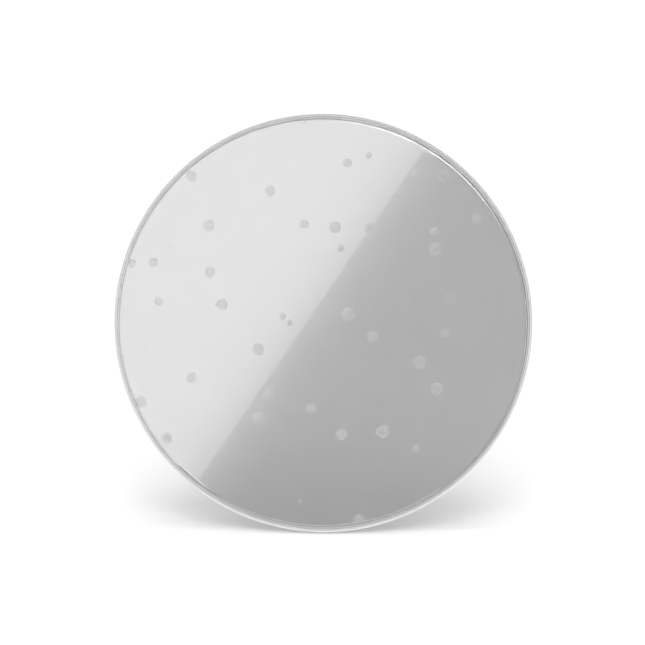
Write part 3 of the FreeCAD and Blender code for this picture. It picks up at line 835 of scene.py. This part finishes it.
# a low fill, which lifts the rim where it stands on the floor; only the metal mirrors it
hoop_only = bpy.data.collections.new("hoop_only")
hoop_only.objects.link(hoop)
not_hoop = bpy.data.collections.new("not_hoop")
for o in (top, bottom, seal_band, air, resin):
    not_hoop.objects.link(o)
for name, receivers, mirrored in (("fill_low_hoop", hoop_only, True), ("fill_low", not_hoop, False)):
    fill_light = bpy.data.lights.new(name, "AREA")
    fill_light.shape, fill_light.size, fill_light.size_y, fill_light.energy = "RECTANGLE", 0.5, 0.1, 0.45
    fill_low = bpy.data.objects.new(name, fill_light)
    scene.collection.objects.link(fill_low)
    fill_low.location = (0.03, -0.40, -0.32)
    fill_low.rotation_euler = (Vector(fill_low.location) - Vector((0.0, 0.01, -0.18))).to_track_quat("Z", "Y").to_euler()
    fill_low.visible_camera = False
    fill_low.visible_glossy = mirrored
    fill_low.light_linking.receiver_collection = receivers

# soft boxes that only the film mirrors
film_only = bpy.data.collections.new("film_pieces")
for o in (top, bottom, oil_layer):
    film_only.objects.link(o)


def soft_box(name, place, look, width, height):
    """A flat glowing sheet. Returns the builder of its material and the coordinates of a point on it."""
    w, h = width / 2, height / 2
    mesh = bpy.data.meshes.new(name)
    mesh.from_pydata([(-w, -h, 0), (w, -h, 0), (w, h, 0), (-w, h, 0)], [], [(0, 1, 2, 3)])
    o = bpy.data.objects.new(name, mesh)
    scene.collection.objects.link(o)
    o.location = place
    o.rotation_euler = (Vector(look) - Vector(place)).to_track_quat("Z", "Y").to_euler()
    o.visible_camera = False
    o.visible_diffuse = False
    o.visible_transmission = False
    o.visible_shadow = False
    o.light_linking.receiver_collection = film_only
    m, n = material(name)
    m.cycles.emission_sampling = "NONE"
    put(o, m)
    sep = n.add("ShaderNodeSeparateXYZ")
    n.link(n.add("ShaderNodeNewGeometry").outputs["Position"], sep.inputs[0])
    return n, sep.outputs


def glow(n, level):
    em = n.add("ShaderNodeEmission", Color=(1, 1, 1, 1), Strength=level)
    both = n.add("ShaderNodeAddShader")
    n.link(em.outputs[0], both.inputs[0])
    n.link(n.add("ShaderNodeBsdfTransparent", Color=(1, 1, 1, 1)).outputs[0], both.inputs[1])
    n.out(both.outputs[0])


CAM_DIST, CAM_AZ, CAM_EL = 2.0, math.radians(3.0), math.radians(3.0)
AIM = Vector((0.0, 0.0105, 0.001))
eye = AIM + CAM_DIST * Vector((math.sin(CAM_AZ) * math.cos(CAM_EL), -math.cos(CAM_AZ) * math.cos(CAM_EL), math.sin(CAM_EL)))

def slant(n, x, z, cx, cz, nx, nz, reach):
    """A clean slanted edge through (cx, cz): bright on the side that (nx, nz) points to, and fading out on the other."""
    across = n.math("ADD", n.math("MULTIPLY", n.math("SUBTRACT", x, cx), nx / reach), n.math("MULTIPLY", n.math("SUBTRACT", z, cz), nz / reach))
    fade = n.math("EXPONENT", n.math("MULTIPLY", n.math("ABSOLUTE", across), -1 / 0.020))
    lit = n.math("MULTIPLY_ADD", fade, -0.425, 1.0)
    dim = n.math("MULTIPLY", fade, 0.38)
    side = n.math("GREATER_THAN", across, 0.0)
    return n.math("ADD", dim, n.math("MULTIPLY", side, n.math("SUBTRACT", lit, dim)))


# the big one stands behind the camera, with one clean edge that crosses the head on the slant;
# a second edge low on its left does the same for a view from the right
BOX_Y, BOX_L = -2.6, 2.62
stretch = (-eye.y - BOX_Y) / -eye.y
ln, (lx, _, lz) = soft_box("soft_box_front", (-0.5, BOX_Y, -0.5), (-0.5, 0, -0.5), 6.2, 6.2)
ex, ez = -0.0103, 0.0066        # a point of the edge as seen on the film
px = eye.x + (ex - eye.x) * stretch
pz = eye.z + (ez - eye.z) * stretch
first = slant(ln, lx, lz, px, pz, -0.8262, 0.5633, stretch)
second = slant(ln, lx, lz, -2.6, -1.7, -0.8262, 0.5633, 3.03)
dx, dz = ln.math("ADD", lx, 2.6), ln.math("ADD", lz, 1.7)
near = ln.span(ln.math("SQRT", ln.math("ADD", ln.math("MULTIPLY", dx, dx), ln.math("MULTIPLY", dz, dz))), 0.55, 0.85, 1.0, 0.0)
both = ln.math("ADD", first, ln.math("MULTIPLY", near, ln.math("SUBTRACT", ln.math("MULTIPLY_ADD", second, 0.7, 0.3), first)))
glow(ln, ln.math("MULTIPLY", both, BOX_L))

# it wraps round on the left and over the top, and weakens towards the back
for name, place, look, width, height in (
    ("soft_box_left", (-3.6, 0.9, -0.5), (0, 0.9, -0.5), 7.0, 6.2),
    ("soft_box_top", (-1.2, 0.9, 2.6), (-1.2, 0.9, 0), 4.8, 7.0),
):
    n, (_, ly, _) = soft_box(name, place, look, width, height)
    glow(n, n.span(ly, 0.0, 4.4, BOX_L, 0.5))

# a narrow one up on the right, for the highlight along the collar
n, (rx, _, _) = soft_box("soft_box_right", (1.72, -0.3, 2.46), (0, -0.3, 0), 1.0, 4.2)
rise = n.math("MULTIPLY", n.span(rx, 3.1, 2.1, 0.5, 9.5), n.span(rx, 1.45, 0.8, 1.05, 0.40))
glow(n, n.math("MULTIPLY", rise, n.span(rx, 0.5, 0.05, 1.0, 0.3)))

# and a weak one below, where the bright floor is mirrored in the bend
n, _ = soft_box("soft_box_low", (0, -0.6, -2.4), (0, -0.6, 0), 3.0, 2.4)
glow(n, 0.8)

# one behind, for the back of the film
n, (bx, _, bz) = soft_box("soft_box_back", (2.6, 2.6, -1.0), (2.6, 0, -1.0), 2.4, 2.4)
glow(n, n.math("MULTIPLY", slant(n, bx, bz, 2.6, -0.99, 0.8262, 0.5633, 2.9), 1.8))

# ---------------------------------------------------------------------- camera
cam = bpy.data.cameras.new("camera")
cam.sensor_width = 36.0
cam.lens = 126.2
cam.clip_start, cam.clip_end = 0.05, 200.0
camera = bpy.data.objects.new("camera", cam)
scene.collection.objects.link(camera)
camera.location = eye
camera.rotation_euler = (AIM - eye).to_track_quat("-Z", "Y").to_euler()
scene.camera = camera
